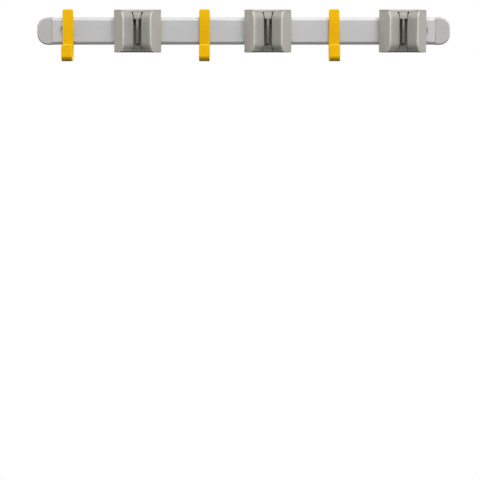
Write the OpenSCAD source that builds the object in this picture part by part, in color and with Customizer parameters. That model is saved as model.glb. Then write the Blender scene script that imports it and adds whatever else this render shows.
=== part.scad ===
// Wall rack for mops and brooms: a short aluminium rail that screws to a wall and
// carries three sliding holders with a pair of swinging jaws each, and three sliding hooks.
// X runs along the rail, Y into the wall, Z up. The wall is the plane y = 0, and f = -y
// is the distance out from the wall. Sizes are in millimetres and angles in degrees.

/* [Rail] */
// Length of the aluminium rail between its two end caps
rail_len = 399; // [380:1:600]
// Height of the rail's front plate
rail_h = 28.4; // [26:0.1:34]
// Distance from the wall to the rail's front face
rail_depth = 12; // [11:0.1:16]
// Thickness of the front plate that the holders and hooks clip round
plate_depth = 6; // [5.5:0.1:7]
// Height of the spine behind the front plate
spine_h = 16; // [13:0.1:16]
// Height of the bevels along the front plate's long edges
bevel_h = 3; // [1:0.1:5]
// How far those bevels run back from the front face
bevel_depth = 2.4; // [0.5:0.1:4]
// Height of each hollow chamber in the front plate
chamber_h = 5; // [3:0.1:5.5]
// Wall left in front of and behind each chamber
chamber_wall = 1.5; // [1.2:0.1:2]
// Height of each chamber's centre above or below the rail's middle
chamber_z = 8.4; // [8.2:0.1:8.8]

/* [Wall screws] */
// Distance of each wall screw from the rail's end
screw_inset = 13; // [11:0.5:50]
// Diameter of the screw holes
screw_hole_d = 4.5; // [3:0.1:5.5]
// Diameter of the countersinks at the front face
countersink_d = 10.6; // [7:0.1:11]

/* [End caps] */
// Length of each end cap outside the rail
cap_len = 15.5; // [14:0.1:30]
// Radius of the end caps' outer corners
cap_corner_r = 11; // [3:0.1:13]
// How far the end caps stand proud of the rail's section
cap_proud = 0.2; // [0:0.05:1]
// Length of the spigots that plug into the rail's chambers
spigot_len = 9; // [5:0.5:15]
// Clearance round each spigot
spigot_gap = 0.1; // [0.05:0.05:0.3]

/* [Places on the rail] */
// Left holder's distance from the rail's middle, as a share of the rail's length
holder_1_share = -0.2757; // [-0.29:0.0001:-0.24]
// Middle holder's distance from the rail's middle, as a share of the rail's length
holder_2_share = 0.0627; // [0.04:0.0001:0.1]
// Right holder's distance from the rail's middle, as a share of the rail's length
holder_3_share = 0.4135; // [0.375:0.0001:0.43]
// Left hook's distance from the rail's middle, as a share of the rail's length
hook_1_share = -0.4574; // [-0.475:0.0001:-0.4]
// Middle hook's distance from the rail's middle, as a share of the rail's length
hook_2_share = -0.1018; // [-0.15:0.0001:-0.05]
// Right hook's distance from the rail's middle, as a share of the rail's length
hook_3_share = 0.2353; // [0.19:0.0001:0.275]

/* [Rail clips] */
// Running clearance between the rail and what slides on it
slide_gap = 0.3; // [0.15:0.05:0.4]
// Thickness of the clip arms above and below the rail
clip_t = 2.4; // [1.6:0.1:3]
// Depth of the lips behind the rail's front plate
clip_lip_depth = 3.2; // [2:0.1:4]
// How far the lips reach in behind the plate's edges
clip_lip_reach = 4; // [2:0.1:5]

/* [Holder] */
// Width of a holder
holder_w = 48.6; // [46:0.1:56]
// Height of a holder
holder_h = 44.2; // [43:0.1:60]
// Thickness of the carrier's base against the rail
base_t = 2.5; // [2.2:0.1:2.6]
// Thickness of the carrier's top and bottom plates
holder_plate_t = 2.3; // [1.8:0.1:2.6]
// Distance from the rail's front to the cheeks' outer corners
cheek_out = 8; // [7:0.1:10]
// Distance from the rail's front to the jaws' ridges
ridge_out = 23; // [20:0.1:25]
// Distance between a holder's two ridges
ridge_gap = 27.6; // [24:0.1:29]
// Width of the flat along each ridge
ridge_flat = 1; // [0.4:0.1:2]

/* [Jaws] */
// Radius of the trough that takes the handle
trough_r = 15.5; // [15:0.1:17]
// Radius of the flare at the trough's top and bottom
flare_r = 12; // [11:0.1:16]
// Height of the flare at each end of the trough
flare_len = 10; // [4:0.1:10]
// Width of the slot between the two jaws' toes
slot_w = 7.6; // [7:0.1:9]
// Angle of the toes' side walls, which fall away behind the slot
toe_undercut = 19; // [14:1:24]
// Clearance between the jaws and the carrier
jaw_gap = 0.4; // [0.3:0.05:0.5]
// Angle that each jaw swings through to close on a handle
jaw_swing = 25; // [15:1:25]
// Thickness of the soft grip pads in the trough
pad_t = 1.6; // [1:0.1:2.5]
// Width of hard edge left between the grip pad and the cheek
pad_margin = 1.1; // [0.8:0.1:2]

/* [Pivots and springs] */
// Distance of each pivot pin from the holder's middle
pivot_x = 17; // [16:0.1:18.5]
// Distance from the rail's front to the pivot pins
pivot_out = 8; // [7.6:0.1:8.6]
// Diameter of the pivot pins
pin_d = 3; // [2:0.1:4]
// Radial clearance of the pins in the jaws
pin_play = 0.05; // [0.02:0.01:0.1]
// Radial clearance of the pins in the carrier
pin_fit = 0.02; // [0.01:0.01:0.05]
// Wall left above the pins in the top plate
pin_cover = 0.8; // [0.5:0.1:1.2]
// Length of each leaf spring behind a jaw's heel
leaf_len = 12; // [8:0.5:13]
// Height of the leaf springs
leaf_h = 12; // [6:0.5:20]
// Thickness of the leaf springs
leaf_t = 0.5; // [0.3:0.05:0.8]
// How far the leaf springs bow forward
leaf_bow = 0.6; // [0.3:0.05:0.8]
// How far the leaf springs' crests stand out of the base
leaf_proud = 0.15; // [0.05:0.05:0.2]

/* [Stop bar] */
// Width of the soft stop bar in the slot
bar_w = 3.2; // [2.4:0.1:3.6]
// Gap between the stop bar's ends and the keystones
bar_end_gap = 0.8; // [0.3:0.1:4]
// How far the middle of the stop bar stands out of the base
bar_out = 11.2; // [8:0.1:11.6]
// Radius of the stop bar's bowed front
bar_bow_r = 45; // [30:1:120]
// Diameter of the pegs that hold the stop bar
bar_peg_d = 2; // [1.4:0.1:2.4]
// Distance of those pegs from the stop bar's ends
bar_peg_inset = 5; // [2:0.1:8]
// Clearance of the pegs in the base
bar_peg_gap = 0.05; // [0.02:0.01:0.1]

/* [Keystones] */
// Width of each keystone where it meets the plate
key_w = 7.6; // [6:0.1:7.8]
// Width of each keystone at its inner end
key_tip_w = 3.8; // [3:0.1:4]
// Height of each keystone
key_h = 5; // [3:0.1:5.5]
// How far each keystone stands out of the base at the plate
key_out = 8.8; // [6:0.1:9.2]
// How far each keystone stands out at its inner end
key_tip_out = 10; // [8:0.1:10.6]

/* [Hooks] */
// Width of a hook
hook_w = 11.1; // [8:0.1:20]
// Thickness of a hook's strip
hook_t = 3.2; // [2.4:0.1:4]
// Height of the thumb tab's top above the rail's middle
hook_top = 22.8; // [20:0.1:30]
// Drop of the hook's floor below the rail's middle
hook_drop = 31.1; // [28:0.1:40]
// Opening between the hook's back and its lip
hook_gap = 16.2; // [13:0.1:25]
// Height of the lip above the hook's floor
hook_lip_h = 17.8; // [11:0.1:18]
// Outer radius of the bends at the hook's floor
hook_bend_r = 6; // [4.4:0.1:9]
// Radius of the thumb tab's top corners
hook_tab_r = 2.6; // [1:0.1:4]
// Radius of the lip's top corners
hook_lip_r = 3; // [1:0.1:4]

/* [Hidden] */
$fn = 96;
// How far cutting shapes run past what they cut
over = 1;
grey = [0.64, 0.62, 0.58];
pad_grey = [0.56, 0.55, 0.52];
bar_grey = [0.36, 0.35, 0.33];
yellow = [0.92, 0.66, 0.03];
alloy = [0.72, 0.72, 0.73];
steel = [0.6, 0.61, 0.63];

// Rail and its clips
plate_back = rail_depth - plate_depth;
rail_end = rail_len / 2;
screw_x = rail_end - screw_inset;
clip_lip_front = plate_back - slide_gap;
clip_lip_back = clip_lip_front - clip_lip_depth;
clip_in = rail_h / 2 + slide_gap;
clip_out = clip_in + clip_t;
seat_f = rail_depth + slide_gap;

// Holder
half_w = holder_w / 2;
half_h = holder_h / 2;
base_front = seat_f + base_t;
plate_in = half_h - holder_plate_t;
cheek_f = rail_depth + cheek_out;
ridge_f = rail_depth + ridge_out;
ridge_x = ridge_gap / 2;
axis_f = ridge_f + sqrt(pow(trough_r, 2) - pow(ridge_x, 2));
flare_z = half_h - flare_len;

// Jaw: its back has two flats, so that either one can lie on the leaf spring
jaw_half_h = plate_in - jaw_gap;
jaw_back_f = base_front + jaw_gap;
toe = [slot_w / 2, axis_f - sqrt(pow(trough_r, 2) - pow(slot_w / 2, 2))];
toe_dir = [sin(toe_undercut), -cos(toe_undercut)];
pivot = [pivot_x, rail_depth + pivot_out];
closed_dir = turn([-1, 0], -jaw_swing);
closed_foot = pivot + turn([0, jaw_back_f - pivot.y], -jaw_swing);
heel = meet(closed_foot, closed_dir, [half_w, jaw_back_f], [-1, 0]);
toe_root = meet(toe, toe_dir, closed_foot, closed_dir);
toe_lead = 3;
cheek_dir = [half_w - ridge_x - ridge_flat / 2, cheek_f - ridge_f];
cheek_in = pad_margin * [cheek_dir.y, -cheek_dir.x] / norm(cheek_dir);
pad_corner = [half_w, cheek_f] + cheek_in;
pin_low = -half_h;
pin_high = half_h - pin_cover;

// Leaf spring: an arc of strip whose crest presses on the jaw's heel
leaf_r = (pow(leaf_len / 2, 2) + pow(leaf_bow, 2)) / (2 * leaf_bow);
leaf_crest = base_front + leaf_proud;
leaf_seat = leaf_crest - leaf_bow - leaf_t;

// Stop bar
bar_end = plate_in - key_h - bar_end_gap;
bar_round = bar_end - bar_w / 2;
bar_peg_z = bar_end - bar_peg_inset;

// Hook
hook_back = seat_f;
hook_front = hook_back + hook_t;
hook_lip_f = hook_front + hook_gap + hook_t;
hook_floor = -hook_drop;
hook_lip_top = hook_floor + hook_lip_h;
hook_mid_f = hook_front + hook_gap / 2;

holder_places = rail_len * [holder_1_share, holder_2_share, holder_3_share];
hook_places = rail_len * [hook_1_share, hook_2_share, hook_3_share];
HOLDER_PIECES = ["carrier", "jaw_left", "jaw_right", "grip_left", "grip_right",
                 "pivot_pins", "leaf_springs", "stop_bar"];

// A point turned about the origin
function turn(p, a) = [p.x * cos(a) - p.y * sin(a), p.x * sin(a) + p.y * cos(a)];
// Where the line through p along d meets the line through q along e
function meet(p, d, q, e) = p + d * ((q.x - p.x) * e.y - (q.y - p.y) * e.x) / (d.x * e.y - d.y * e.x);

// Outline in x and f, drawn up from z0 to z1
module plan(z0, z1) {
    mirror([0, 1, 0]) translate([0, 0, z0]) linear_extrude(z1 - z0) children();
}

// Outline in x and z, drawn out from f0 to f1
module front(f0, f1) {
    rotate([90, 0, 0]) translate([0, 0, f0]) linear_extrude(f1 - f0) children();
}

// Outline in f and z, drawn along the rail and centred
module side(w) {
    mirror([0, 1, 0]) rotate([90, 0, 90]) translate([0, 0, -w / 2]) linear_extrude(w) children();
}

// The children and their mirror image below the rail's middle
module above_and_below() {
    children();
    mirror([0, 0, 1]) children();
}

// The children and their mirror image left of a holder's middle
module right_and_left() {
    children();
    mirror([1, 0, 0]) children();
}

// Rectangle from one corner to the other
module span(low, high) {
    translate(low) square(high - low);
}

// Rectangle on the X axis whose top corners are round
module round_top(w, h, r) {
    intersection() {
        span([-w / 2, 0], [w / 2, h]);
        union() {
            span([-w / 2, 0], [w / 2, h - r]);
            span([r - w / 2, 0], [w / 2 - r, h]);
            for (s = [-1, 1]) translate([s * (w / 2 - r), h - r]) circle(r);
        }
    }
}

// Rectangle from the origin whose bottom corners are round
module round_bottom(w, h, r) {
    span([0, r], [w, h]);
    span([r, 0], [w - r, h]);
    for (x = [r, w - r]) translate([x, r]) circle(r);
}

// The rail's section in f and z: a bevelled front plate on a spine
module rail_section() {
    span([0, -spine_h / 2], [plate_back, spine_h / 2]);
    polygon([
        [plate_back, -rail_h / 2],
        [rail_depth - bevel_depth, -rail_h / 2],
        [rail_depth, bevel_h - rail_h / 2],
        [rail_depth, rail_h / 2 - bevel_h],
        [rail_depth - bevel_depth, rail_h / 2],
        [plate_back, rail_h / 2]
    ]);
}

// A chamber's section in f and z, less a clearance all round
module chamber_section(gap) {
    span([plate_back + chamber_wall + gap, chamber_z - chamber_h / 2 + gap],
         [rail_depth - chamber_wall - gap, chamber_z + chamber_h / 2 - gap]);
}

module rail() {
    sink_depth = (countersink_d - screw_hole_d) / 2;
    color(alloy) difference() {
        side(rail_len) rail_section();
        above_and_below() side(rail_len + 2 * over) chamber_section(0);
        for (s = [-1, 1]) translate([s * screw_x, over, 0]) rotate([90, 0, 0]) {
            cylinder(d = screw_hole_d, h = rail_depth + 2 * over);
            translate([0, 0, over + rail_depth - sink_depth])
                cylinder(d1 = screw_hole_d, d2 = countersink_d, h = sink_depth);
        }
    }
}

// End cap at the rail's right end: a round-cornered block with two spigots
module end_cap() {
    cap_h = rail_h + 2 * cap_proud;
    color(grey) union() {
        translate([rail_end, 0, 0]) rotate([0, 90, 0])
            front(0, rail_depth + cap_proud) round_top(cap_h, cap_len, cap_corner_r);
        above_and_below() translate([rail_end - spigot_len / 2 + spigot_gap / 2, 0, 0])
            side(spigot_len + spigot_gap) chamber_section(spigot_gap);
    }
}

// Arms and lips that clip a sliding piece round the rail
module rail_clip(w) {
    above_and_below() side(w) {
        span([clip_lip_back, clip_in], [seat_f + base_t / 2, clip_out]);
        span([clip_lip_back, rail_h / 2 - clip_lip_reach], [clip_lip_front, clip_out]);
    }
}

// The tool that cuts a holder's flared trough, larger by grow all round
module trough(grow = 0) {
    r = trough_r + grow;
    reach = half_h + over;
    translate([0, -axis_f, 0]) rotate_extrude() difference() {
        span([0, -reach], [trough_r + flare_r, reach]);
        span([r, -flare_z], [trough_r + flare_r + over, flare_z]);
        for (s = [-1, 1]) translate([trough_r + flare_r, s * flare_z]) circle(flare_r - grow);
    }
}

// A jaw's outline in x and f, with its cheek through the given outer corner
module jaw_outline(corner) {
    ridge = meet(corner, cheek_dir, [0, ridge_f], [1, 0]);
    polygon([
        toe - toe_lead * toe_dir,
        ridge - [ridge_flat, 0],
        ridge,
        corner,
        [corner.x, jaw_back_f],
        heel,
        toe_root
    ]);
}

// The space behind the trough that the soft pad fills, open at the toe and at both ends
module pad_pocket() {
    ridge = meet(pad_corner, cheek_dir, [0, ridge_f + over], [1, 0]);
    intersection() {
        plan(-half_h, half_h) polygon([
            [0, jaw_back_f],
            [pad_corner.x, jaw_back_f],
            pad_corner,
            ridge,
            [0, ridge.y]
        ]);
        trough(pad_t);
    }
}

// Right jaw: swings about its pin, toe back and ridge in
module jaw() {
    color(grey) difference() {
        plan(-jaw_half_h, jaw_half_h) jaw_outline([half_w, cheek_f]);
        trough();
        pad_pocket();
        translate([pivot.x, -pivot.y, -half_h]) cylinder(r = pin_d / 2 + pin_play, h = holder_h);
    }
}

// Soft grip pad of the right jaw
module grip() {
    color(pad_grey) difference() {
        intersection() {
            plan(-jaw_half_h, jaw_half_h) jaw_outline(pad_corner);
            trough(pad_t);
        }
        trough();
    }
}

// Tapered web between the jaws' toes under the top plate, which leans back as the flare does
module keystone() {
    intersection() {
        front(seat_f, base_front + max(key_out, key_tip_out)) polygon([
            [-key_w / 2, plate_in + holder_plate_t / 2],
            [-key_tip_w / 2, plate_in - key_h],
            [key_tip_w / 2, plate_in - key_h],
            [key_w / 2, plate_in + holder_plate_t / 2]
        ]);
        side(key_w + over) polygon([
            [seat_f, plate_in + holder_plate_t / 2],
            [base_front + key_out, plate_in + holder_plate_t / 2],
            [base_front + key_out, plate_in],
            [base_front + key_tip_out, plate_in - key_h],
            [seat_f, plate_in - key_h]
        ]);
    }
}

// Top plate of the carrier, with the same plan as the open jaws
module holder_plate() {
    difference() {
        plan(plate_in, half_h) polygon([
            [-half_w, seat_f],
            [half_w, seat_f],
            [half_w, cheek_f],
            [ridge_x + ridge_flat / 2, ridge_f],
            [-ridge_x - ridge_flat / 2, ridge_f],
            [-half_w, cheek_f]
        ]);
        trough();
    }
}

// Carrier: slides on the rail and holds a holder's jaws between its plates
module carrier() {
    color(grey) difference() {
        union() {
            front(seat_f, base_front) span([-half_w, -half_h], [half_w, half_h]);
            above_and_below() holder_plate();
            above_and_below() keystone();
            rail_clip(holder_w);
        }
        right_and_left() translate([pivot.x, -pivot.y, pin_low - over])
            cylinder(r = pin_d / 2 + pin_fit, h = pin_high - pin_low + over);
        right_and_left() front(leaf_seat, base_front + over)
            span([heel.x - leaf_len / 2 - jaw_gap, -leaf_h / 2 - jaw_gap],
                 [heel.x + leaf_len / 2 + jaw_gap, leaf_h / 2 + jaw_gap]);
        above_and_below() translate([0, -base_front - over, bar_peg_z]) rotate([-90, 0, 0])
            cylinder(d = bar_peg_d + 2 * bar_peg_gap, h = base_t + 2 * over);
    }
}

// The two steel pins that a holder's jaws swing on
module pivot_pins() {
    color(steel) right_and_left() translate([pivot.x, -pivot.y, pin_low])
        cylinder(d = pin_d, h = pin_high - pin_low);
}

// The two bowed leaf springs that hold the jaws open or closed
module leaf_springs() {
    color(steel) right_and_left() intersection() {
        front(leaf_seat, leaf_crest)
            span([heel.x - leaf_len / 2, -leaf_h / 2], [heel.x + leaf_len / 2, leaf_h / 2]);
        plan(-leaf_h / 2, leaf_h / 2) translate([heel.x, leaf_crest - leaf_r]) difference() {
            circle(leaf_r);
            circle(leaf_r - leaf_t);
        }
    }
}

// Soft bar that the handle comes to rest against, with its two pegs
module stop_bar() {
    color(bar_grey) union() {
        intersection() {
            front(base_front, base_front + bar_out) {
                span([-bar_w / 2, -bar_round], [bar_w / 2, bar_round]);
                for (s = [-1, 1]) translate([0, s * bar_round]) circle(d = bar_w);
            }
            translate([0, bar_bow_r - base_front - bar_out, 0]) rotate([0, 90, 0])
                cylinder(r = bar_bow_r, h = bar_w + 2 * over, center = true);
        }
        above_and_below() translate([0, -base_front - bar_out / 2, bar_peg_z])
            rotate([-90, 0, 0]) cylinder(d = bar_peg_d, h = base_t + bar_out / 2);
    }
}

// Hook: a strip that clips round the rail and turns up into a lip below it
module hook() {
    color(yellow) intersection() {
        union() {
            side(hook_w) {
                span([hook_back, hook_floor + hook_bend_r], [hook_front, hook_top]);
                difference() {
                    translate([hook_back, hook_floor])
                        round_bottom(hook_lip_f - hook_back, hook_lip_h, hook_bend_r);
                    translate([hook_front, hook_floor + hook_t])
                        round_bottom(hook_gap, hook_lip_h, hook_bend_r - hook_t);
                }
            }
            rail_clip(hook_w);
        }
        union() {
            front(0, hook_mid_f) translate([0, hook_floor])
                round_top(hook_w, hook_top - hook_floor, hook_tab_r);
            front(hook_mid_f, hook_lip_f) translate([0, hook_floor])
                round_top(hook_w, hook_lip_h, hook_lip_r);
        }
    }
}

rail();
end_cap();  // end_cap_right
mirror([1, 0, 0]) end_cap();  // end_cap_left
for (i = [1:3]) {
    translate([hook_places[i - 1], 0, 0]) hook();
    translate([holder_places[i - 1], 0, 0]) {
        carrier();
        jaw();
        mirror([1, 0, 0]) jaw();
        grip();
        mirror([1, 0, 0]) grip();
        pivot_pins();
        leaf_springs();
        stop_bar();
    }
}
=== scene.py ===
import math

import bmesh
import bpy
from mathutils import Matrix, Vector


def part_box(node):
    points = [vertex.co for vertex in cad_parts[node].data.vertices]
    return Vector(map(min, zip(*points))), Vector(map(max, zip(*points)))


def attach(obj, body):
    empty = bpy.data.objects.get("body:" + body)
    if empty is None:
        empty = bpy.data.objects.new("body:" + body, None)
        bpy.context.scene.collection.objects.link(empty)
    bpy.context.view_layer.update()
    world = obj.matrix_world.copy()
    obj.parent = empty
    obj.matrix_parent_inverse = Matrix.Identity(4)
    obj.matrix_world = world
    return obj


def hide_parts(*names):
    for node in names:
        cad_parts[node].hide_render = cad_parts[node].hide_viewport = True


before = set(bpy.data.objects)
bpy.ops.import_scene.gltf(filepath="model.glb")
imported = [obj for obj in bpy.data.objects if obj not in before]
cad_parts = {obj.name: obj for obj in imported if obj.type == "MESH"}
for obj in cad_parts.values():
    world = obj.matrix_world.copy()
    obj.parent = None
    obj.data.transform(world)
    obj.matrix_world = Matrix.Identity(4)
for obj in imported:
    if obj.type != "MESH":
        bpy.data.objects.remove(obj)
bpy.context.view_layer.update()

NUMBERS = (1, 2, 3)
BOTH_WAYS = (-1, 1)
OUTWARD = Vector((0, -1, 0))
UPWARD = Vector((0, 0, 1))

# Rail, from its CAD node
rail_low, rail_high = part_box("rail")
RAIL_END = rail_high.x
RAIL_DEPTH = -rail_low.y
RAIL_TOP = rail_high.z
RAIL_PLATE_THICK = 0.006
RAIL_PLATE_BACK = RAIL_DEPTH - RAIL_PLATE_THICK
SPINE_HALF = 0.008
BEVEL_HEIGHT = 0.003
BEVEL_DEPTH = 0.0024
BEVEL_R = 0.0007
RAIL_CORNER_R = 0.0003
RAIL_ROOT_R = 0.0005
CHAMBER_HALF = 0.0025
CHAMBER_WALL = 0.0015
CHAMBER_BACK = RAIL_PLATE_BACK + CHAMBER_WALL
CHAMBER_FRONT = RAIL_DEPTH - CHAMBER_WALL
CHAMBER_Z = 0.0084
SCREW_INSET = 0.013
SCREW_X = RAIL_END - SCREW_INSET
SCREW_HOLE_R = 0.00225
COUNTERSINK_R = 0.0053
COUNTERSINK_LIP = 0.0002
COUNTERSINK_RIM = 0.0013
COUNTERSINK_DEPTH = 0.0016

# End caps, from the CAD node of the right one
cap_low, cap_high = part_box("end_cap_right")
CAP_END = cap_high.x
CAP_TOP = cap_high.z
CAP_FRONT = -cap_low.y
CAP_CORNER_R = 0.011
CAP_EDGE_REACH = 0.0022
CAP_EDGE_DEPTH = 0.0019
CAP_BACK_R = 0.0005
CAP_SEAM_R = 0.0001
CAP_SEAM_EASE = 0.12
SPIGOT_END = cap_low.x
SPIGOT_GAP = 0.0001
SPIGOT_R = 0.0006
SPIGOT_EDGE_R = 0.0003

# Clips round the rail
SLIDE_GAP = 0.0003
CLIP_THICK = 0.0024
CLIP_LIP_DEPTH = 0.0032
CLIP_LIP_REACH = 0.004
SEAT_F = RAIL_DEPTH + SLIDE_GAP
CLIP_IN = RAIL_TOP + SLIDE_GAP
CLIP_OUT = CLIP_IN + CLIP_THICK
CLIP_LIP_END = RAIL_TOP - CLIP_LIP_REACH
CLIP_LIP_FRONT = RAIL_PLATE_BACK - SLIDE_GAP
CLIP_LIP_BACK = CLIP_LIP_FRONT - CLIP_LIP_DEPTH
CLIP_SHOULDER = 0.0014
CLIP_TIP_R = 0.0005
CLIP_BEND_R = 0.0004
CLIP_ROOT_R = 0.0003
CLIP_HEEL_R = 0.0008

# Holder, from the CAD nodes of the first one: carrier and trough
carrier_low, carrier_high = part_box("holder_1_carrier")
jaw_low, jaw_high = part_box("holder_1_jaw_right")
HALF_W = (carrier_high.x - carrier_low.x) / 2
HALF_H = carrier_high.z
PLATE_THICK = 0.0023
PLATE_IN = HALF_H - PLATE_THICK
PLATE_CORNER_R = 0.0005
BASE_THICK = 0.0025
BASE_FRONT = SEAT_F + BASE_THICK
CHEEK_DEPTH = 0.008
CHEEK_F = RAIL_DEPTH + CHEEK_DEPTH
CHEEK_CORNER_R = 0.0014
RIDGE_F = -jaw_low.y
RIDGE_X = 0.0138
RIDGE_FLAT = 0.001
NOSE_R = 0.0010
TROUGH_R = 0.0155
FLARE_R = 0.012
FLARE_LEN = 0.010
FLARE_Z = HALF_H - FLARE_LEN
AXIS_F = RIDGE_F + math.sqrt(TROUGH_R ** 2 - RIDGE_X ** 2)
LAND_LOW = 0.0191
LAND_HIGH = 0.0201
RIM_TOP_R = 0.0187
RIM_TOP_ROUND = (0.0004, 0.0003)
RIM_BOTTOM_R = 0.0203
RIM_BOTTOM_ROUND = (0.0005, 0.0006)
EDGE_R = 0.0004
SEAM_R = 0.00007

# Jaws, pads, pins and the pockets of the leaf springs
JAW_BACK_F = -jaw_high.y
JAW_SEAM = 0.00008
JAW_END = PLATE_IN - JAW_SEAM
JAW_SWING = math.radians(25)
HEEL_R = 0.0006
SLOT_HALF = 0.0038
TOE_UNDERCUT = math.radians(19)
TOE_RELIEF_Z = 0.0150
TOE_RELIEF_SLOPE = 0.30
TOE_ROOT_R = 0.0005
TOE_TIP_R = 0.0003
PAD_THICK = 0.0016
PAD_MARGIN = 0.0020
PAD_SEAM = 0.00006
PAD_POCKET_R = 0.0002
PAD_BACK_R = 0.0003
PAD_EDGE_R = 0.0005
PAD_TOE_R = 0.0006
PIVOT_X = 0.017
PIVOT_OUT = 0.008
PIVOT_F = RAIL_DEPTH + PIVOT_OUT
PIN_R = 0.0015
PIN_BORE_R = 0.00155
PIN_COVER = 0.0008
PIN_CHAMFER = 0.0003
leaf_low, leaf_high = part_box("holder_1_leaf_springs")
LEAF_OUTER = leaf_high.x - (carrier_low.x + carrier_high.x) / 2
LEAF_CLEAR = 0.0004
LEAF_POCKET_R = 0.0004

# Keystones and stop bar in the slot
KEY_HALF = 0.00365
KEY_SPREAD = 0.30
KEY_TOP_HEIGHT = 0.0074
KEY_BOTTOM_HEIGHT = 0.0046
KEY_BOTTOM_FALL = 0.0032
KEY_SINK = 0.00015
KEY_ROUND = 0.0002
KEY_NECK_OUT = 0.0105
KEY_NECK_F = RAIL_DEPTH + KEY_NECK_OUT
KEY_NECK_IN = 0.0017
KEY_NECK_R = 0.0003
bar_low, bar_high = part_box("holder_1_stop_bar")
BAR_HALF_W = (bar_high.x - bar_low.x) / 2
BAR_LAP = 0.0022
BAR_GAP = 0.0018
BAR_TOP = PLATE_IN - KEY_TOP_HEIGHT + BAR_LAP
BAR_BOTTOM = KEY_BOTTOM_HEIGHT - PLATE_IN + BAR_GAP
BAR_PROUD = 0.0003
BAR_FRONT = BAR_PROUD - bar_low.y
BAR_BOW_R = 0.30
BAR_CROWN = 0.0012
BAR_DOME = 0.0010
PEG_INSET = 0.005
PEG_Z = bar_high.z - PEG_INSET
PEG_R = 0.001
PEG_CHAMFER = 0.0002

# Hooks, from the CAD node of the first one
hook_low, hook_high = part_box("hook_1")
HOOK_HALF_W = (hook_high.x - hook_low.x) / 2
HOOK_TOP = hook_high.z
HOOK_FLOOR = hook_low.z
HOOK_LIP_F = -hook_low.y
HOOK_THICK = 0.0032
HOOK_LIP_HEIGHT = 0.0178
HOOK_LIP_TOP = HOOK_FLOOR + HOOK_LIP_HEIGHT
HOOK_BEND_R = 0.006
HOOK_TAB_R = 0.0026
HOOK_LIP_R = 0.003
HOOK_EDGE_R = 0.0007
HOOK_TIP_R = 0.0012
HOOK_FAR = 1.0

# How finely round shapes are cut
QUARTER = math.pi / 2
FILLET_STEPS = 5
TROUGH_STEPS = 28
FLARE_STEPS = 10
BEND_STEPS = 10
TIP_STEPS = 8
TURN_STEPS = 40
LEAST_R = 0.00002
LEAST_TURN = 1e-9
WELD = 1e-7
SHARP_ANGLE = math.radians(34)

# How far cutters and joined solids run past a face, and a hair of room that keeps faces apart
OVER = 0.001
SINK = 0.00004

# The curve from a picture's colours to linear ones
SRGB_FULL = 255
SRGB_KNEE = 0.04045
SRGB_SLOPE = 12.92
SRGB_LIFT = 0.055
SRGB_POWER = 2.4
WHITE = (1.0, 1.0, 1.0, 1.0)

# Sockets of a Mix node for colours, and the mean of a noise
MIX_SHARE, MIX_FIRST, MIX_SECOND, MIX_COLOUR = 0, 6, 7, 2
NOISE_MEAN = 0.5

# Moulded finishes: scales are in waves a metre, and sheen is a change of roughness
CLOUD_SCALE = 70.0
CLOUD_DETAIL = 3.0
CLOUD_SHARE = 0.65
CLOUD_SHEEN = 0.10
FLOW_SCALE = 240.0
FLOW_STRETCH = (0.35, 1.0, 1.0)
FLOW_SHARE = 0.35
GRAIN_DETAIL = 3.0
GRAIN_ROUGHNESS = 0.6
GRAIN_SHEEN = 0.12
GRAIN_STRENGTH = 0.35
MOULDED_DARK = 0.94
MOULDED_PALE = 1.06

# Painted light: where the mask is 1, a paler colour is painted in as a highlight along the jaws' ridges and
# as light from above on the stop bars' upper ends, and roughness drops there. The ridge's fall is in metres
# for each square metre of height past the flare's start.
PAINTED_RIDGE_REACH = 0.0008
PAINTED_LIGHT_POLISH = 0.10
RIDGE_FALL = 41.0
BAR_PAINTED_LIGHT_LOW = -0.001

# Metal finishes
STREAK_DETAIL = 4.0
STREAK_ROUGHNESS = 0.65
STREAK_SHARE = 0.5
STREAK_SHEEN = 0.16
STREAK_STRENGTH = 0.12
STREAK_DEPTH = 0.00004
BAND_STRETCH = (0.2, 0.12, 0.12)
BAND_SHARE = 0.3
HAZE_SCALE = 28.0
HAZE_SHARE = 0.2
HAZE_SHEEN = 0.06
METAL_DARK = 0.93
METAL_PALE = 1.07

# Stage, light and camera
FLOOR_DROP = 2.0
FLOOR_HALF = 6.0
FLOOR_GLOW = 0.75
FLOOR_SHARE = 0.85
FLOOR_SCALE = 1.5
FLOOR_DARK = (0.27, 0.27, 0.27, 1.0)
FLOOR_PALE = (0.31, 0.31, 0.31, 1.0)
ROOM_LIGHT = 0.05
ROOM_LIGHT_ABOVE = 0.10
BACKGROUND_LIGHT = 1.0
FULL_SPREAD = math.pi
BACK_SPREAD = math.radians(70)
CAMERA_OUT = 2.0
CAMERA_X = -0.0038
CAMERA_LENS = 143.32
CAMERA_SENSOR = 36.0
CAMERA_TILT = math.radians(6.241)


# Outlines: closed loops of points with the material on the left of each edge

class Straight:
    """A straight edge from one point towards another. Ease scales how far an inset moves it."""

    def __init__(self, start, end, ease=1.0):
        self.start = Vector(start)
        self.along = (Vector(end) - self.start).normalized()
        self.ease = ease

    def shifted(self, distance):
        inward = Vector((-self.along.y, self.along.x)) * distance
        return Straight(self.start + inward, self.start + inward + self.along, self.ease)

    def foot(self, point):
        return self.start + self.along * (point - self.start).dot(self.along)


class Round:
    """A round edge about a centre. A hollow one has the material outside it."""

    ease = 1.0

    def __init__(self, centre, radius, hollow=True):
        self.centre = Vector(centre)
        self.radius = radius
        self.hollow = hollow

    def shifted(self, distance):
        return Round(self.centre, self.radius + (distance if self.hollow else -distance), self.hollow)

    def foot(self, point):
        return self.centre + (point - self.centre).normalized() * self.radius


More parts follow.
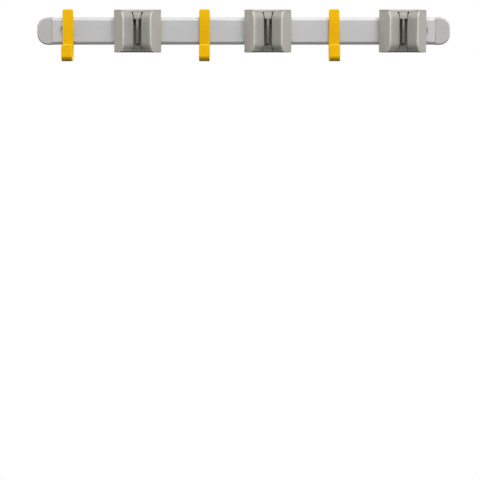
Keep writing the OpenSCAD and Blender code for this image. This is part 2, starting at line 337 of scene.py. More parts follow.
def crossing(a, b, near):
    """Where two edges cross, nearest to a point. At most one of them is round."""
    if isinstance(a, Round):
        a, b = b, a
    if isinstance(b, Straight):
        gap = b.start - a.start
        run = (gap.x * b.along.y - gap.y * b.along.x) / (a.along.x * b.along.y - a.along.y * b.along.x)
        return a.start + a.along * run
    middle = a.foot(b.centre)
    half = math.sqrt(b.radius ** 2 - (middle - b.centre).length_squared)
    return min((middle + a.along * half, middle - a.along * half), key=lambda p: (p - near).length)


def arc(centre, start, end, turn, steps):
    """Points from start to end about a centre, anticlockwise where turn is above 0."""
    spoke = start - centre
    sweep = math.atan2(end.y - centre.y, end.x - centre.x) - math.atan2(spoke.y, spoke.x)
    while turn > 0 and sweep < -LEAST_TURN:
        sweep += 2 * math.pi
    while turn < 0 and sweep > LEAST_TURN:
        sweep -= 2 * math.pi
    points = []
    for k in range(steps + 1):
        c, s = math.cos(sweep * k / steps), math.sin(sweep * k / steps)
        points.append(centre + Vector((spoke.x * c - spoke.y * s, spoke.x * s + spoke.y * c)))
    return points


def outline(edges, corners, inset):
    """Points round a closed shape. Corner i, given as (place, radius), leads from edge i - 1 to edge i.
    A negative radius rounds an inner corner. The shape shrinks by the inset."""
    turns = []
    for i, (place, radius) in enumerate(corners):
        before, after = edges[i - 1], edges[i]
        r = max(radius - inset, LEAST_R) if radius > 0 else radius - inset
        centre = crossing(before.shifted(inset * before.ease + r), after.shifted(inset * after.ease + r),
                          Vector(place))
        start = before.shifted(inset * before.ease).foot(centre)
        end = after.shifted(inset * after.ease).foot(centre)
        turns.append(arc(centre, start, end, r, FILLET_STEPS))
    points = []
    for i, edge in enumerate(edges):
        points += turns[i]
        if isinstance(edge, Round):
            start, end = turns[i][-1], turns[(i + 1) % len(edges)][0]
            points += arc(edge.centre, start, end, -1 if edge.hollow else 1, TROUGH_STEPS)[1:-1]
    return points


def polygon(corners, eases=None):
    """A section of straight edges: a function that gives its points for a height and an inset.
    Corners are (across, up, radius), anticlockwise."""
    places = [Vector(c[:2]) for c in corners]
    eases = eases or [1.0] * len(corners)
    edges = [Straight(p, places[(i + 1) % len(places)], eases[i]) for i, p in enumerate(places)]
    return lambda height, inset: outline(edges, [(p, c[2]) for p, c in zip(places, corners)], inset)


def rectangle(low, high, radius):
    return polygon([(low[0], low[1], radius), (high[0], low[1], radius),
                    (high[0], high[1], radius), (low[0], high[1], radius)])


# Ways to lay an outline in the rack's frame, with the height it is drawn to. A way of -1 mirrors it.

def plan(way=1, height_way=1):
    """Across and out from the wall, drawn upwards or downwards."""
    return lambda across, out, height: Vector((way * across, -out, height_way * height))


def front(way=1):
    """Across and up, drawn out from the wall."""
    return lambda across, up, height: Vector((way * across, -height, up))


def side(way=1):
    """Out from the wall and up or down, drawn along the rail."""
    return lambda out, up, height: Vector((height, -out, way * up))


# Meshes

def even(radius):
    """The (depth, reach) of an edge with one radius."""
    return radius, radius


def quarter_turn(steps):
    """Angles from 0 to a right angle."""
    return [QUARTER * k / steps for k in range(steps + 1)]


def rounded_levels(low, high, low_round, high_round, between):
    """Heights from low to high with the inset at each. A round is the (depth, reach) of an end's edge."""
    def end(height, depth, reach):
        return [(height + depth * (1 - math.cos(angle)), reach * (1 - math.sin(angle)))
                for angle in quarter_turn(FILLET_STEPS)]

    middle = [(height, 0.0) for height in between]
    return end(low, *low_round) + middle + end(high, -high_round[0], high_round[1])[::-1]


def loft(name, rows):
    """A closed mesh object through rows of points, each row a loop."""
    mesh = bmesh.new()
    loops = [[mesh.verts.new(p) for p in row] for row in rows]
    count = len(loops[0])
    for low, high in zip(loops, loops[1:]):
        for k in range(count):
            mesh.faces.new((low[k], low[(k + 1) % count], high[(k + 1) % count], high[k]))
    mesh.faces.new(loops[0])
    mesh.faces.new(loops[-1])
    bmesh.ops.remove_doubles(mesh, verts=mesh.verts, dist=WELD)
    bmesh.ops.recalc_face_normals(mesh, faces=mesh.faces)
    data = bpy.data.meshes.new(name)
    mesh.to_mesh(data)
    mesh.free()
    made = bpy.data.objects.new(name, data)
    bpy.context.scene.collection.objects.link(made)
    return made


def prism(name, place, section, low, high, low_round, high_round=None, between=()):
    """A solid drawn from one height to another, with its end edges rounded alike unless both are given."""
    rows = []
    for height, inset in rounded_levels(low, high, low_round, high_round or low_round, between):
        rows.append([place(p.x, p.y, height) for p in section(height, inset)])
    return loft(name, rows)


def turned(name, profile, centre, axis):
    """A round solid: the profile is (distance along the axis, radius) from a centre."""
    across = Vector((1, 0, 0))
    other = axis.cross(across)
    rows = []
    for along, radius in profile:
        ring = []
        for k in range(TURN_STEPS):
            angle = 2 * math.pi * k / TURN_STEPS
            spoke = across * math.cos(angle) + other * math.sin(angle)
            ring.append(centre + axis * along + spoke * radius)
        rows.append(ring)
    return loft(name, rows)


def combine(made, others, operation):
    """Joins other solids to a solid, or cuts them from it, and removes them."""
    for other in others:
        step = made.modifiers.new(other.name, "BOOLEAN")
        step.operation = operation
        step.solver = "EXACT"
        step.object = other
    graph = bpy.context.evaluated_depsgraph_get()
    data = bpy.data.meshes.new_from_object(made.evaluated_get(graph))
    made.modifiers.clear()
    made.data = data
    for other in others:
        bpy.data.objects.remove(other)
    return made


def smooth(made):
    """Shades the rounded edges smoothly and keeps the flats flat."""
    data = made.data
    data.polygons.foreach_set("use_smooth", [True] * len(data.polygons))
    data.set_sharp_from_angle(angle=SHARP_ANGLE)
    evened = made.modifiers.new("Even shading", "WEIGHTED_NORMAL")
    evened.keep_sharp = True


# Rail and end caps

def rail_extrusion():
    """The rail: a bevelled front plate on a spine, two chambers and two countersunk screw holes."""
    half = [
        (RAIL_PLATE_BACK, SPINE_HALF, -RAIL_ROOT_R),
        (RAIL_PLATE_BACK, RAIL_TOP, RAIL_CORNER_R),
        (RAIL_DEPTH - BEVEL_DEPTH, RAIL_TOP, RAIL_CORNER_R),
        (RAIL_DEPTH, RAIL_TOP - BEVEL_HEIGHT, BEVEL_R),
    ]
    section = polygon(
        [(0, SPINE_HALF, RAIL_CORNER_R), (0, -SPINE_HALF, RAIL_CORNER_R)]
        + [(out, -up, radius) for out, up, radius in half]
        + [(out, up, radius) for out, up, radius in reversed(half)])
    edge = even(RAIL_CORNER_R)
    rail = prism("rail_extrusion", side(), section, -RAIL_END, RAIL_END, edge)
    screw_hole = [
        (-OVER, SCREW_HOLE_R),
        (RAIL_DEPTH - COUNTERSINK_DEPTH, SCREW_HOLE_R),
        (RAIL_DEPTH - COUNTERSINK_RIM, COUNTERSINK_R - COUNTERSINK_LIP),
        (RAIL_DEPTH, COUNTERSINK_R),
        (RAIL_DEPTH + OVER, COUNTERSINK_R + OVER),
    ]
    cuts = []
    for way in BOTH_WAYS:
        chamber = rectangle((CHAMBER_BACK, way * CHAMBER_Z - CHAMBER_HALF),
                            (CHAMBER_FRONT, way * CHAMBER_Z + CHAMBER_HALF), RAIL_CORNER_R)
        cuts.append(prism("chamber", side(), chamber, -RAIL_END - OVER, RAIL_END + OVER, edge))
        cuts.append(turned("screw_hole", screw_hole, Vector((way * SCREW_X, 0, 0)), OUTWARD))
    return combine(rail, cuts, "DIFFERENCE")


def end_cap(name, way):
    """An end cap with round corners, softened edges and two spigots in the rail's chambers."""
    place = front(way)
    section = polygon(
        [(RAIL_END, -CAP_TOP, CAP_SEAM_R), (CAP_END, -CAP_TOP, CAP_CORNER_R),
         (CAP_END, CAP_TOP, CAP_CORNER_R), (RAIL_END, CAP_TOP, CAP_SEAM_R)],
        [1.0, 1.0, 1.0, CAP_SEAM_EASE])
    cap = prism(name, place, section, 0, CAP_FRONT, even(CAP_BACK_R), (CAP_EDGE_DEPTH, CAP_EDGE_REACH))
    spigots = []
    for level in BOTH_WAYS:
        tongue = rectangle((SPIGOT_END, level * CHAMBER_Z - CHAMBER_HALF + SPIGOT_GAP),
                           (RAIL_END + OVER, level * CHAMBER_Z + CHAMBER_HALF - SPIGOT_GAP), SPIGOT_R)
        spigots.append(prism("spigot", place, tongue, CHAMBER_BACK + SPIGOT_GAP, CHAMBER_FRONT - SPIGOT_GAP,
                             even(SPIGOT_EDGE_R)))
    return combine(cap, spigots, "UNION")


# Holder: trough, jaws, pads, carrier, stop bar and pins

def flare(height, behind=0.0):
    """Radius of the trough at a height, or of a surface that lies behind it by a distance."""
    rise = min(max(abs(height), FLARE_Z), LAND_LOW) - FLARE_Z
    return TROUGH_R + FLARE_R - math.sqrt((FLARE_R - behind) ** 2 - rise ** 2)


def plate_flare(height, rim_r):
    """Radius of the trough in a carrier's plate: the rest of the upright land, then a slope to the rim."""
    share = max(0.0, (abs(height) - LAND_HIGH) / (HALF_H - LAND_HIGH))
    return flare(LAND_LOW) + share * (rim_r - flare(LAND_LOW))


# The right jaw's edges in plan. Its back has two flats: one faces the base squarely at rest, and the
# other once the jaw has swung.
trough_axis = Vector((0, AXIS_F))
ridge_place = Vector((RIDGE_X + RIDGE_FLAT / 2, RIDGE_F))
cheek_corner = Vector((HALF_W, CHEEK_F))
back_corner = Vector((HALF_W, JAW_BACK_F))
cheek_line = Straight(cheek_corner, ridge_place)
margin_line = cheek_line.shifted(PAD_MARGIN)
pad_step = Straight(ridge_place, cheek_corner).shifted(-PAD_MARGIN)
toe_tip = Vector((SLOT_HALF, AXIS_F - math.sqrt(TROUGH_R ** 2 - SLOT_HALF ** 2)))
toe_fall = Vector((math.sin(TOE_UNDERCUT), -math.cos(TOE_UNDERCUT)))
toe_wall = Straight(toe_tip, toe_tip + toe_fall)
pivot = Vector((PIVOT_X, PIVOT_F))
closed_back = Vector((-math.cos(JAW_SWING), math.sin(JAW_SWING)))
closed_foot = pivot + Vector((closed_back.y, -closed_back.x)) * (JAW_BACK_F - PIVOT_F)
open_back = Straight((0, JAW_BACK_F), back_corner)
swung_back = Straight(closed_foot + closed_back, closed_foot)
heel = crossing(swung_back, open_back, closed_foot)
toe_root = crossing(toe_wall, swung_back, closed_foot)


def toe_wall_at(height):
    """The wall of a jaw's toe, cut back beside the keystones."""
    return toe_wall.shifted(max(abs(height) - TOE_RELIEF_Z, 0.0) * TOE_RELIEF_SLOPE)


def jaw_section(height, inset):
    """A right jaw's outline at a height, with the pocket for its pad."""
    trough, pocket = Round(trough_axis, flare(height)), Round(trough_axis, flare(height, PAD_THICK))
    edges = [swung_back, open_back, Straight(back_corner, cheek_corner), cheek_line,
             trough, pad_step, pocket, toe_wall_at(height)]
    corners = [
        (toe_root, TOE_ROOT_R),
        (heel, HEEL_R),
        (back_corner, HEEL_R),
        (cheek_corner, CHEEK_CORNER_R),
        (crossing(cheek_line, trough, ridge_place), NOSE_R),
        (crossing(pad_step, trough, ridge_place), PAD_POCKET_R),
        (crossing(pad_step, pocket, ridge_place), -PAD_POCKET_R),
        (toe_tip, TOE_TIP_R),
    ]
    return outline(edges, corners, inset)


def pad_section(height, inset):
    """A right grip pad's outline at a height, a hair smaller than its pocket."""
    trough = Round(trough_axis, flare(height))
    back = Round(trough_axis, flare(height, PAD_THICK), hollow=False)
    edges = [back, margin_line, trough, toe_wall_at(height)]
    corners = [
        (toe_tip, PAD_BACK_R),
        (crossing(margin_line, back, ridge_place), PAD_BACK_R),
        (crossing(margin_line, trough, ridge_place), PAD_EDGE_R),
        (toe_tip, PAD_TOE_R),
    ]
    return outline(edges, corners, inset + PAD_SEAM)


def flare_heights():
    """Heights through the trough's straight part and its two flares, as far as their lands."""
    upper = [FLARE_Z + (LAND_LOW - FLARE_Z) * k / FLARE_STEPS for k in range(FLARE_STEPS + 1)]
    return [-height for height in reversed(upper)] + upper


def jaw(name, way):
    """One jaw with its rounded ridge and the bore for its pin."""
    place = plan(way)
    body = prism(name, place, jaw_section, -JAW_END, JAW_END, even(SEAM_R), between=flare_heights())
    profile = [(-HALF_H, PIN_BORE_R), (HALF_H, PIN_BORE_R)]
    bore = turned("bore", profile, place(PIVOT_X, PIVOT_F, 0), UPWARD)
    return combine(body, [bore], "DIFFERENCE")


def pad(name, way):
    """The soft pad in a jaw's half of the trough."""
    return prism(name, plan(way), pad_section, -JAW_END, JAW_END, even(SEAM_R), between=flare_heights())


def plate_section(rim_r):
    """A carrier's top or bottom plate: a function that gives its outline for a height and an inset."""
    left_back, right_back, left_corner = (-HALF_W, SEAT_F), (HALF_W, SEAT_F), (-HALF_W, CHEEK_F)

    def section(height, inset):
        trough = Round(trough_axis, plate_flare(height, rim_r))
        ridge = crossing(cheek_line, trough, ridge_place)
        edges = [Straight(left_back, right_back), Straight(right_back, cheek_corner), cheek_line, trough,
                 Straight((-ridge_place.x, RIDGE_F), left_corner), Straight(left_corner, left_back)]
        corners = [(left_back, PLATE_CORNER_R), (right_back, PLATE_CORNER_R),
                   (cheek_corner, CHEEK_CORNER_R), (ridge, NOSE_R),
                   ((-ridge.x, ridge.y), NOSE_R), (left_corner, CHEEK_CORNER_R)]
        return outline(edges, corners, inset)

    return section


def clips(half_width):
    """The two snap arms that hold a holder or a hook on the rail's long edges."""
    hold = polygon([
        (CLIP_LIP_BACK, CLIP_LIP_END, CLIP_TIP_R), (CLIP_LIP_FRONT, CLIP_LIP_END, CLIP_TIP_R),
        (CLIP_LIP_FRONT, CLIP_IN, -CLIP_BEND_R), (SEAT_F + OVER, CLIP_IN, CLIP_ROOT_R),
        (SEAT_F + OVER, CLIP_OUT, CLIP_ROOT_R), (CLIP_LIP_BACK, CLIP_OUT, CLIP_HEEL_R)])
    reach = half_width - CLIP_SHOULDER
    return [prism("clip", side(way), hold, -reach, reach, even(EDGE_R)) for way in BOTH_WAYS]


def keystone(place, key_height, fall):
    """A web between the jaws' toes, with a narrower neck that the toes swing past.
    Its front carries on the flare, or leans back towards the plate by the fall."""
    root, tip = (PLATE_IN + HALF_H) / 2, PLATE_IN - key_height
    levels = [(root, 0.0)]
    for k in range(FLARE_STEPS + 1):
        levels.append((PLATE_IN + (tip + KEY_ROUND - PLATE_IN) * k / FLARE_STEPS, 0.0))
    for angle in quarter_turn(FILLET_STEPS)[1:]:
        levels.append((tip + KEY_ROUND * (1 - math.sin(angle)), KEY_ROUND * (1 - math.cos(angle))))
    rows = []
    for height, drawn_in in levels:
        half = KEY_HALF + max(height - TOE_RELIEF_Z, 0.0) * KEY_SPREAD - drawn_in
        neck = half - KEY_NECK_IN
        leaning = flare(tip) + fall * min((height - tip) / key_height, 1.0)
        out = AXIS_F - (leaning if fall else flare(height)) - KEY_SINK - drawn_in
        web = polygon([
            (-neck, SEAT_F + OVER, KEY_ROUND), (neck, SEAT_F + OVER, KEY_ROUND),
            (neck, KEY_NECK_F, -KEY_NECK_R), (half, out, KEY_ROUND),
            (-half, out, KEY_ROUND), (-neck, KEY_NECK_F, -KEY_NECK_R)])
        rows.append([place(p.x, p.y, height) for p in web(height, 0)])
    return loft("keystone", rows)


def bar_rib(name, grow):
    """The stop bar's bowed rib, with a crowned front and domed ends, or its bed when it grows a little."""
    place = plan()
    high, low = BAR_TOP - BAR_HALF_W, BAR_BOTTOM + BAR_HALF_W
    angles = quarter_turn(FLARE_STEPS)[1:-1]
    upper = [(high + BAR_HALF_W * math.cos(angle), math.sin(angle)) for angle in angles]
    lower = [(low - BAR_HALF_W * math.cos(angle), math.sin(angle)) for angle in reversed(angles)]
    straight = [(high + (low - high) * k / BEND_STEPS, 1.0) for k in range(BEND_STEPS + 1)]
    rows = []
    for height, share in upper + straight + lower:
        half = BAR_HALF_W * share + grow
        bow = BAR_FRONT - BAR_BOW_R + math.sqrt(BAR_BOW_R ** 2 - height ** 2)
        crest = bow - BAR_DOME * (1 - share) + grow
        rib = rectangle((-half, BASE_FRONT - grow), (half, crest), min(BAR_CROWN, half - LEAST_R))
        rows.append([place(p.x, p.y, height) for p in rib(height, 0)])
    return loft(name, rows)


def peg_at(name, profile, way):
    """A round peg of the stop bar, or its bore, near the upper or the lower end."""
    return turned(name, profile, Vector((0, 0, way * PEG_Z)), OUTWARD)


def stop_bar(name):
    """The soft bar in the slot, held in the base by two pegs."""
    bar = bar_rib(name, 0.0)
    profile = [(SEAT_F, PEG_R - PEG_CHAMFER), (SEAT_F + PEG_CHAMFER, PEG_R), (BASE_FRONT + OVER, PEG_R)]
    return combine(bar, [peg_at("peg", profile, way) for way in BOTH_WAYS], "UNION")


def pin_at(name, profile, way):
    """A pin, or its bore, on the left or the right jaw's pivot."""
    return turned(name, profile, Vector((way * PIVOT_X, -PIVOT_F, 0)), UPWARD)


def pins(name):
    """The two steel pins, with chamfered ends."""
    profile = [(-HALF_H, PIN_R - PIN_CHAMFER), (PIN_CHAMFER - HALF_H, PIN_R),
               (HALF_H - PIN_COVER - PIN_CHAMFER, PIN_R), (HALF_H - PIN_COVER, PIN_R - PIN_CHAMFER)]
    left, right = (pin_at(name, profile, way) for way in BOTH_WAYS)
    return combine(left, [right], "UNION")


def carrier(name):
    """The moulding that slides on the rail: base, two plates, keystones and clips.
    It has beds and bores for the stop bar and the pins, and pockets for the leaf springs."""
    seam = even(SEAM_R)
    sheet = rectangle((SINK - HALF_W, -PLATE_IN - OVER), (HALF_W - SINK, PLATE_IN + OVER), EDGE_R)
    base = prism(name, front(), sheet, SEAT_F + SINK, BASE_FRONT, even(EDGE_R), seam)
    joined = clips(HALF_W)
    slopes = [LAND_HIGH, (LAND_HIGH + HALF_H) / 2]
    for way, key_height, fall, rim_r, rim_round in (
            (-1, KEY_BOTTOM_HEIGHT, KEY_BOTTOM_FALL, RIM_BOTTOM_R, RIM_BOTTOM_ROUND),
            (1, KEY_TOP_HEIGHT, 0.0, RIM_TOP_R, RIM_TOP_ROUND)):
        place = plan(height_way=way)
        plate = plate_section(rim_r)
        joined.append(prism("plate", place, plate, PLATE_IN, HALF_H, seam, rim_round, slopes))
        joined.append(keystone(place, key_height, fall))
    made = combine(base, joined, "UNION")
    pin_bore = [(-HALF_H - OVER, PIN_R + SINK), (HALF_H - PIN_COVER, PIN_R + SINK)]
    peg_bore = [(SEAT_F - OVER, PEG_R + SINK), (BASE_FRONT + OVER, PEG_R + SINK)]
    leaf_inner = 2 * heel.x - LEAF_OUTER
    pocket = rectangle((leaf_inner - LEAF_CLEAR, leaf_low.z - LEAF_CLEAR),
                       (LEAF_OUTER + LEAF_CLEAR, leaf_high.z + LEAF_CLEAR), LEAF_POCKET_R)
    bores = [bar_rib("bar_bed", SINK)]
    for way in BOTH_WAYS:
        bores.append(pin_at("pin_bore", pin_bore, way))
        bores.append(peg_at("peg_bore", peg_bore, way))
        bores.append(prism("leaf_pocket", front(way), pocket, -leaf_high.y, BASE_FRONT + OVER, seam))
    return combine(made, bores, "DIFFERENCE")


# Hook

def hook(name):
    """A hook: one rounded strip bent into a J, with clips that hold it on the rail."""
    half_t, bend = HOOK_THICK / 2, HOOK_BEND_R - HOOK_THICK / 2
    back_f, lip_f = SEAT_F + half_t, HOOK_LIP_F - half_t
    turn_z, floor_z = HOOK_FLOOR + HOOK_BEND_R, HOOK_FLOOR + half_t
    steps = [HOOK_LIP_R * (1 - math.cos(angle)) for angle in quarter_turn(TIP_STEPS)]
    # A point of the path is (out, up, turn, radius of the corners at the nearest end, distance from it)
    path = [(back_f, HOOK_TOP - q, 0.0, HOOK_TAB_R, q) for q in steps]
    for angle in quarter_turn(BEND_STEPS):
        path.append((back_f + bend * (1 - math.cos(angle)), turn_z - bend * math.sin(angle),
                     angle, 0.0, HOOK_FAR))
    for angle in quarter_turn(BEND_STEPS):
        path.append((lip_f - bend * (1 - math.sin(angle)), floor_z + bend * (1 - math.cos(angle)),
                     QUARTER + angle, 0.0, HOOK_FAR))
    path += [(lip_f, HOOK_LIP_TOP - q, math.pi, HOOK_LIP_R, q) for q in reversed(steps)]
    rows = []
    for out, up, turn, corner, q in path:
        half = HOOK_HALF_W - corner + math.sqrt(max(corner ** 2 - max(corner - q, 0) ** 2, 0))
        thick = half_t - HOOK_TIP_R + math.sqrt(HOOK_TIP_R ** 2 - max(HOOK_TIP_R - q, 0) ** 2)
        strip = rectangle((-half, -thick), (half, thick), min(HOOK_EDGE_R, thick - LEAST_R))
        across_f, across_z = math.cos(turn), math.sin(turn)
        rows.append([Vector((p.x, -(out + p.y * across_f), up + p.y * across_z)) for p in strip(0, 0)])
    return combine(loft(name, rows), clips(HOOK_HALF_W), "UNION")


# Materials

def linear(red, green, blue):
    """A colour as a picture gives it, from 0 to 255, as the shader's linear colour."""
    def channel(value):
        value = value / SRGB_FULL
        if value <= SRGB_KNEE:
            return value / SRGB_SLOPE
        return ((value + SRGB_LIFT) / (1 + SRGB_LIFT)) ** SRGB_POWER

    return channel(red), channel(green), channel(blue), 1.0


def shade(colour, factor):
    return tuple(c * factor for c in colour[:3]) + (1.0,)


class Socket:
    """An output of a node. Arithmetic on it adds Math nodes."""

    def __init__(self, tree, output):
        self.tree = tree
        self.output = output

    def __add__(self, other):
        return self.tree.maths("ADD", self, other)

    def __radd__(self, other):
        return self.tree.maths("ADD", other, self)

    def __sub__(self, other):
        return self.tree.maths("SUBTRACT", self, other)

    def __rsub__(self, other):
        return self.tree.maths("SUBTRACT", other, self)

    def __mul__(self, other):
        return self.tree.maths("MULTIPLY", self, other)

    def __rmul__(self, other):
        return self.tree.maths("MULTIPLY", other, self)


class Tree:
    """The nodes of one material, or of the world."""

    def __init__(self, owner):
        owner.use_nodes = True
        self.tree = owner.node_tree
        self.tree.nodes.clear()

    def node(self, kind, settings=None, sockets=None, output=0):
        """Adds a node, sets it up and feeds its sockets with values or links. Gives back one output."""
        made = self.tree.nodes.new(kind)
        for key, value in (settings or {}).items():
            setattr(made, key, value)
        for key, value in (sockets or {}).items():
            if isinstance(value, Socket):
                self.tree.links.new(value.output, made.inputs[key])
            else:
                made.inputs[key].default_value = value
        return Socket(self, made.outputs[output]) if made.outputs else None

    def maths(self, operation, *values):
        return self.node("ShaderNodeMath", {"operation": operation}, dict(enumerate(values)))

    def noise(self, coordinates, scale, detail=2.0, roughness=0.5):
        return self.node("ShaderNodeTexNoise", {}, {
            "Vector": coordinates, "Scale": scale, "Detail": detail, "Roughness": roughness})

    def stretched(self, coordinates, factors):
        return self.node("ShaderNodeVectorMath", {"operation": "MULTIPLY"}, {0: coordinates, 1: factors})

    def blend(self, share, first, second):
        sockets = {MIX_SHARE: share, MIX_FIRST: first, MIX_SECOND: second}
        return self.node("ShaderNodeMix", {"data_type": "RGBA"}, sockets, output=MIX_COLOUR)

    def part_of(self, place, letter):
        return self.node("ShaderNodeSeparateXYZ", {}, {"Vector": place}, output=letter)

    def ramp(self, value, low, high):
        """A smooth step from 0 at the low value to 1 at the high one."""
        return self.node("ShaderNodeMapRange", {"interpolation_type": "SMOOTHSTEP"},
                         {"Value": value, "From Min": low, "From Max": high})

    def looked_at(self):
        """1 where a camera, glossy or transmission ray looks, and 0 for light that falls on things."""
        camera, glossy, through = (self.node("ShaderNodeLightPath", output=f"Is {ray} Ray")
                                   for ray in ("Camera", "Glossy", "Transmission"))
        return self.maths("MAXIMUM", self.maths("MAXIMUM", camera, glossy), through)

    def surface(self, sockets):
        """Ends a material in one principled shader."""
        shader = self.node("ShaderNodeBsdfPrincipled", {}, sockets)
        self.node("ShaderNodeOutputMaterial", {}, {"Surface": shader})


def painted_ridge_highlight(tree, place):
    """1 along a jaw's ridge, where a paler colour is painted in as a highlight, and 0 elsewhere. The ridge
    falls back in the flares.
    """
    out = -1.0 * tree.part_of(place, "Y")
    beyond = tree.maths("MAXIMUM", tree.maths("ABSOLUTE", tree.part_of(place, "Z")) - FLARE_Z, 0.0)
    ridge = RIDGE_F - NOSE_R / 2 - beyond * beyond * RIDGE_FALL
    return tree.ramp(out - ridge, -PAINTED_RIDGE_REACH, 0.0)


def painted_bar_top_light(tree, place):
    """1 at a stop bar's upper end, where a paler colour is painted in as light falling from above, and 0
    below its middle.
    """
    return tree.ramp(tree.part_of(place, "Z"), BAR_PAINTED_LIGHT_LOW, BAR_TOP)


def moulded(name, colour, rough, grain_size, grain_depth, gloss, painted_light_mask=None, pale=1.0):
    """Moulded plastic or rubber: faint clouding, a fine even grain and a soft sheen.
    Where a painted light mask is given, a paler colour is painted in there as a highlight, and the surface
    is smoother there."""
    made = bpy.data.materials.new(name)
    tree = Tree(made)
    place = tree.node("ShaderNodeTexCoord", output="Object")
    cloud = tree.noise(place, CLOUD_SCALE, CLOUD_DETAIL)
    flow = tree.noise(tree.stretched(place, FLOW_STRETCH), FLOW_SCALE)
    grain = tree.noise(place, 1 / grain_size, GRAIN_DETAIL, GRAIN_ROUGHNESS)
    tone = cloud * CLOUD_SHARE + flow * FLOW_SHARE
    base = tree.blend(tone, shade(colour, MOULDED_DARK), shade(colour, MOULDED_PALE))
    sheen = rough + (cloud - NOISE_MEAN) * CLOUD_SHEEN + (grain - NOISE_MEAN) * GRAIN_SHEEN
    # Painted light: where the mask is 1, the colour is blended towards a paler one as a highlight, and
    # roughness drops there.
    if painted_light_mask:
        painted_light_and_polish = painted_light_mask(tree, place)
        base = tree.blend(painted_light_and_polish, base, shade(colour, pale))
        sheen = sheen - painted_light_and_polish * PAINTED_LIGHT_POLISH
    relief = tree.node("ShaderNodeBump", {}, {
        "Height": grain, "Strength": GRAIN_STRENGTH, "Distance": grain_depth})
    tree.surface({"Base Color": base, "Roughness": sheen, "Specular IOR Level": gloss, "Normal": relief})
    return made


def drawn_metal(name, colour, rough, lines, metallic):
    """Drawn or extruded metal: fine lines, with slight changes of tone and sheen.
    Lines gives how often a metre they change along X, Y and Z, and they run along the least of these."""
    made = bpy.data.materials.new(name)
    tree = Tree(made)
    place = tree.node("ShaderNodeTexCoord", output="Object")
    bands_at = tuple(count * share for count, share in zip(lines, BAND_STRETCH))
    streaks = tree.noise(tree.stretched(place, lines), 1.0, STREAK_DETAIL, STREAK_ROUGHNESS)
    bands = tree.noise(tree.stretched(place, bands_at), 1.0)
    haze = tree.noise(place, HAZE_SCALE)
    tone = streaks * STREAK_SHARE + bands * BAND_SHARE + haze * HAZE_SHARE
    base = tree.blend(tone, shade(colour, METAL_DARK), shade(colour, METAL_PALE))
    sheen = rough + (streaks - NOISE_MEAN) * STREAK_SHEEN + (haze - NOISE_MEAN) * HAZE_SHEEN
    relief = tree.node("ShaderNodeBump", {}, {
        "Height": streaks, "Strength": STREAK_STRENGTH, "Distance": STREAK_DEPTH})
    tree.surface({"Base Color": base, "Metallic": metallic, "Roughness": sheen, "Normal": relief})
    return made


satin_aluminium = drawn_metal("satin_aluminium", linear(184, 184, 185), rough=0.58,
                              lines=(5.0, 1500.0, 1500.0), metallic=0.56)
pin_steel = drawn_metal("pin_steel", linear(205, 206, 208), rough=0.28,
                        lines=(900.0, 900.0, 60.0), metallic=1.0)
spring_steel = drawn_metal("spring_steel", linear(176, 178, 182), rough=0.33,
                           lines=(40.0, 900.0, 900.0), metallic=1.0)
cap_grey = moulded("cap_grey", linear(190, 189, 185), rough=0.50,
                   grain_size=0.00035, grain_depth=0.00003, gloss=0.4)
holder_grey = moulded("holder_grey", linear(170, 168, 160), rough=0.46,
                      grain_size=0.00035, grain_depth=0.00002, gloss=0.2)
# The jaws' material: a painted highlight, a paler colour, runs along each ridge's nose.
jaw_grey_painted_ridge = moulded("jaw_grey_painted_ridge", linear(170, 168, 160), rough=0.44,
                   grain_size=0.00035, grain_depth=0.00002, gloss=0.4, painted_light_mask=painted_ridge_highlight, pale=1.5)
pad_grey = moulded("pad_grey", linear(166, 164, 158), rough=0.66,
                   grain_size=0.00028, grain_depth=0.00004, gloss=0.3)
# The stop bar's material: painted light, a paler colour, fades in towards its upper end.
bar_grey = moulded("bar_grey", linear(104, 100, 96), rough=0.36,
                   grain_size=0.00028, grain_depth=0.00002, gloss=0.6, painted_light_mask=painted_bar_top_light, pale=2.4)
hook_yellow = moulded("hook_yellow", linear(250, 192, 0), rough=0.36,
                      grain_size=0.0006, grain_depth=0.000015, gloss=0.2)


# Pieces in their places

def dress(made, finish, body, slot, *nodes):
    """Finishes a piece, sets it on its body and lets it stand for its CAD nodes."""
    smooth(made)
    made.data.materials.clear()
    made.data.materials.append(finish)
    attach(made, body)
    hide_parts(*nodes)


def copy_at(name, pattern, x):
    """A copy of a piece made at the middle of the rail, set at its own place along it."""
    made = bpy.data.objects.new(name, pattern.data.copy())
    bpy.context.scene.collection.objects.link(made)
    made.location.x = x
    return made


def middle_of(node):
    low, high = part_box(node)
    return (low.x + high.x) / 2


dress(rail_extrusion(), satin_aluminium, "rail_assembly", "rail_alloy", "rail")
for hand, way in (("left", -1), ("right", 1)):
    node = f"end_cap_{hand}"
    dress(end_cap(f"{node}_moulding", way), cap_grey, "rail_assembly", "cap_plastic", node)

hook_pattern = hook("hook_pattern")
for i in NUMBERS:
    node = f"hook_{i}"
    made = copy_at(f"{node}_moulding", hook_pattern, middle_of(node))
    dress(made, hook_yellow, node, "hook_plastic", node)

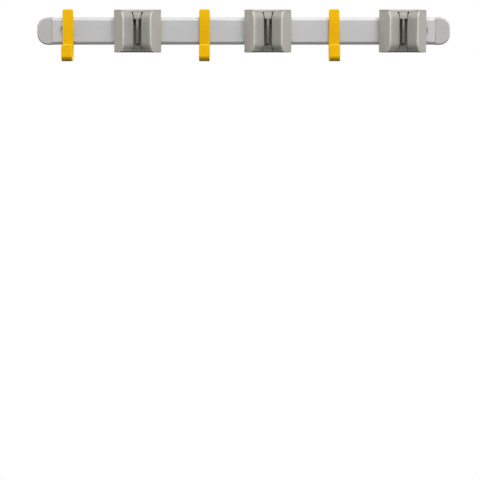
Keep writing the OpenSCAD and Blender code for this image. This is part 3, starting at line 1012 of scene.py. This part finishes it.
HOLDER_PATTERNS = {
    "carrier": (carrier("carrier_pattern"), holder_grey, "holder_plastic"),
    "jaw_left": (jaw("jaw_left_pattern", -1), jaw_grey_painted_ridge, "holder_plastic"),
    "jaw_right": (jaw("jaw_right_pattern", 1), jaw_grey_painted_ridge, "holder_plastic"),
    "grip_left": (pad("grip_left_pattern", -1), pad_grey, "grip_rubber"),
    "grip_right": (pad("grip_right_pattern", 1), pad_grey, "grip_rubber"),
    "stop_bar": (stop_bar("stop_bar_pattern"), bar_grey, "stop_rubber"),
    "pivot_pins": (pins("pivot_pins_pattern"), pin_steel, "spring_steel"),
}
for i in NUMBERS:
    holder = f"holder_{i}"
    x = middle_of(f"{holder}_carrier")
    for piece, (pattern, finish, slot) in HOLDER_PATTERNS.items():
        node = f"{holder}_{piece}"
        hand = piece.split("_")[-1]
        body = f"{holder}_jaw_{hand}" if hand in ("left", "right") else holder
        dress(copy_at(f"{node}_finished", pattern, x), finish, body, slot, node)
    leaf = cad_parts[f"{holder}_leaf_springs"]
    leaf.data.materials.clear()
    leaf.data.materials.append(spring_steel)
for pattern in [hook_pattern] + [row[0] for row in HOLDER_PATTERNS.values()]:
    bpy.data.objects.remove(pattern)


# Stage, light and camera

def floor_finish():
    """A pale floor. Part of what the camera sees there is its own light, and the rest keeps the shadows."""
    made = bpy.data.materials.new("pale_floor")
    tree = Tree(made)
    cloud = tree.noise(tree.node("ShaderNodeTexCoord", output="Object"), FLOOR_SCALE)
    lit = tree.node("ShaderNodeBsdfDiffuse", {}, {"Color": tree.blend(cloud, FLOOR_DARK, FLOOR_PALE)})
    glow = tree.node("ShaderNodeEmission", {}, {"Color": WHITE, "Strength": FLOOR_GLOW})
    mixed = tree.node("ShaderNodeMixShader", {}, {0: tree.looked_at() * FLOOR_SHARE, 1: lit, 2: glow})
    tree.node("ShaderNodeOutputMaterial", {}, {"Surface": mixed})
    return made


def make_floor():
    data = bpy.data.meshes.new("floor")
    corners = [(x * FLOOR_HALF, y * FLOOR_HALF, -FLOOR_DROP)
               for x, y in ((-1, -1), (1, -1), (1, 1), (-1, 1))]
    data.from_pydata(corners, [], [(0, 1, 2, 3)])
    made = bpy.data.objects.new("floor", data)
    bpy.context.scene.collection.objects.link(made)
    data.materials.append(floor_finish())


def make_world():
    """Soft room light, stronger from above, behind a background that looks white."""
    world = bpy.data.worlds.new("studio")
    bpy.context.scene.world = world
    tree = Tree(world)
    up = tree.part_of(tree.node("ShaderNodeTexCoord", output="Generated"), "Z")
    strength = ROOM_LIGHT + tree.maths("MAXIMUM", up, 0.0) * ROOM_LIGHT_ABOVE
    room = tree.node("ShaderNodeBackground", {}, {"Color": WHITE, "Strength": strength})
    white = tree.node("ShaderNodeBackground", {}, {"Color": WHITE, "Strength": BACKGROUND_LIGHT})
    mixed = tree.node("ShaderNodeMixShader", {}, {0: tree.looked_at(), 1: room, 2: white})
    tree.node("ShaderNodeOutputWorld", {}, {"Surface": mixed})


def make_lamp(name, place, size, power, spread=FULL_SPREAD):
    """A square softbox that faces the rack's middle."""
    data = bpy.data.lights.new(name, "AREA")
    data.shape = "SQUARE"
    data.size = size
    data.energy = power
    data.spread = spread
    made = bpy.data.objects.new(name, data)
    made.location = place
    made.rotation_euler = (-Vector(place)).to_track_quat("-Z", "Y").to_euler()
    made.visible_camera = False
    bpy.context.scene.collection.objects.link(made)


def make_camera():
    """The photograph's view: level with the rail, tilted down so that the rack is near the top."""
    data = bpy.data.cameras.new("camera")
    data.lens = CAMERA_LENS
    data.sensor_width = CAMERA_SENSOR
    made = bpy.data.objects.new("camera", data)
    made.location = (CAMERA_X, -RAIL_DEPTH - CAMERA_OUT, 0.0)
    made.rotation_euler = (QUARTER - CAMERA_TILT, 0.0, 0.0)
    bpy.context.scene.collection.objects.link(made)
    bpy.context.scene.camera = made


make_floor()
make_world()
make_lamp("main_softbox", place=(0.45, -1.35, 1.5), size=1.9, power=46.5)
make_lamp("top_softbox", place=(0.15, -1.0, 1.45), size=0.9, power=5.0)
make_lamp("left_strip", place=(-2.0, -0.4, 0.45), size=0.6, power=19.0)
make_lamp("right_strip", place=(2.0, -0.4, 0.45), size=0.6, power=15.5)
make_lamp("back_left", place=(-0.9, 1.7, 0.9), size=0.9, power=3.0, spread=BACK_SPREAD)
make_lamp("back_right", place=(0.9, 1.7, 0.9), size=0.9, power=3.0, spread=BACK_SPREAD)
make_camera()
bpy.context.scene.view_settings.view_transform = "Standard"
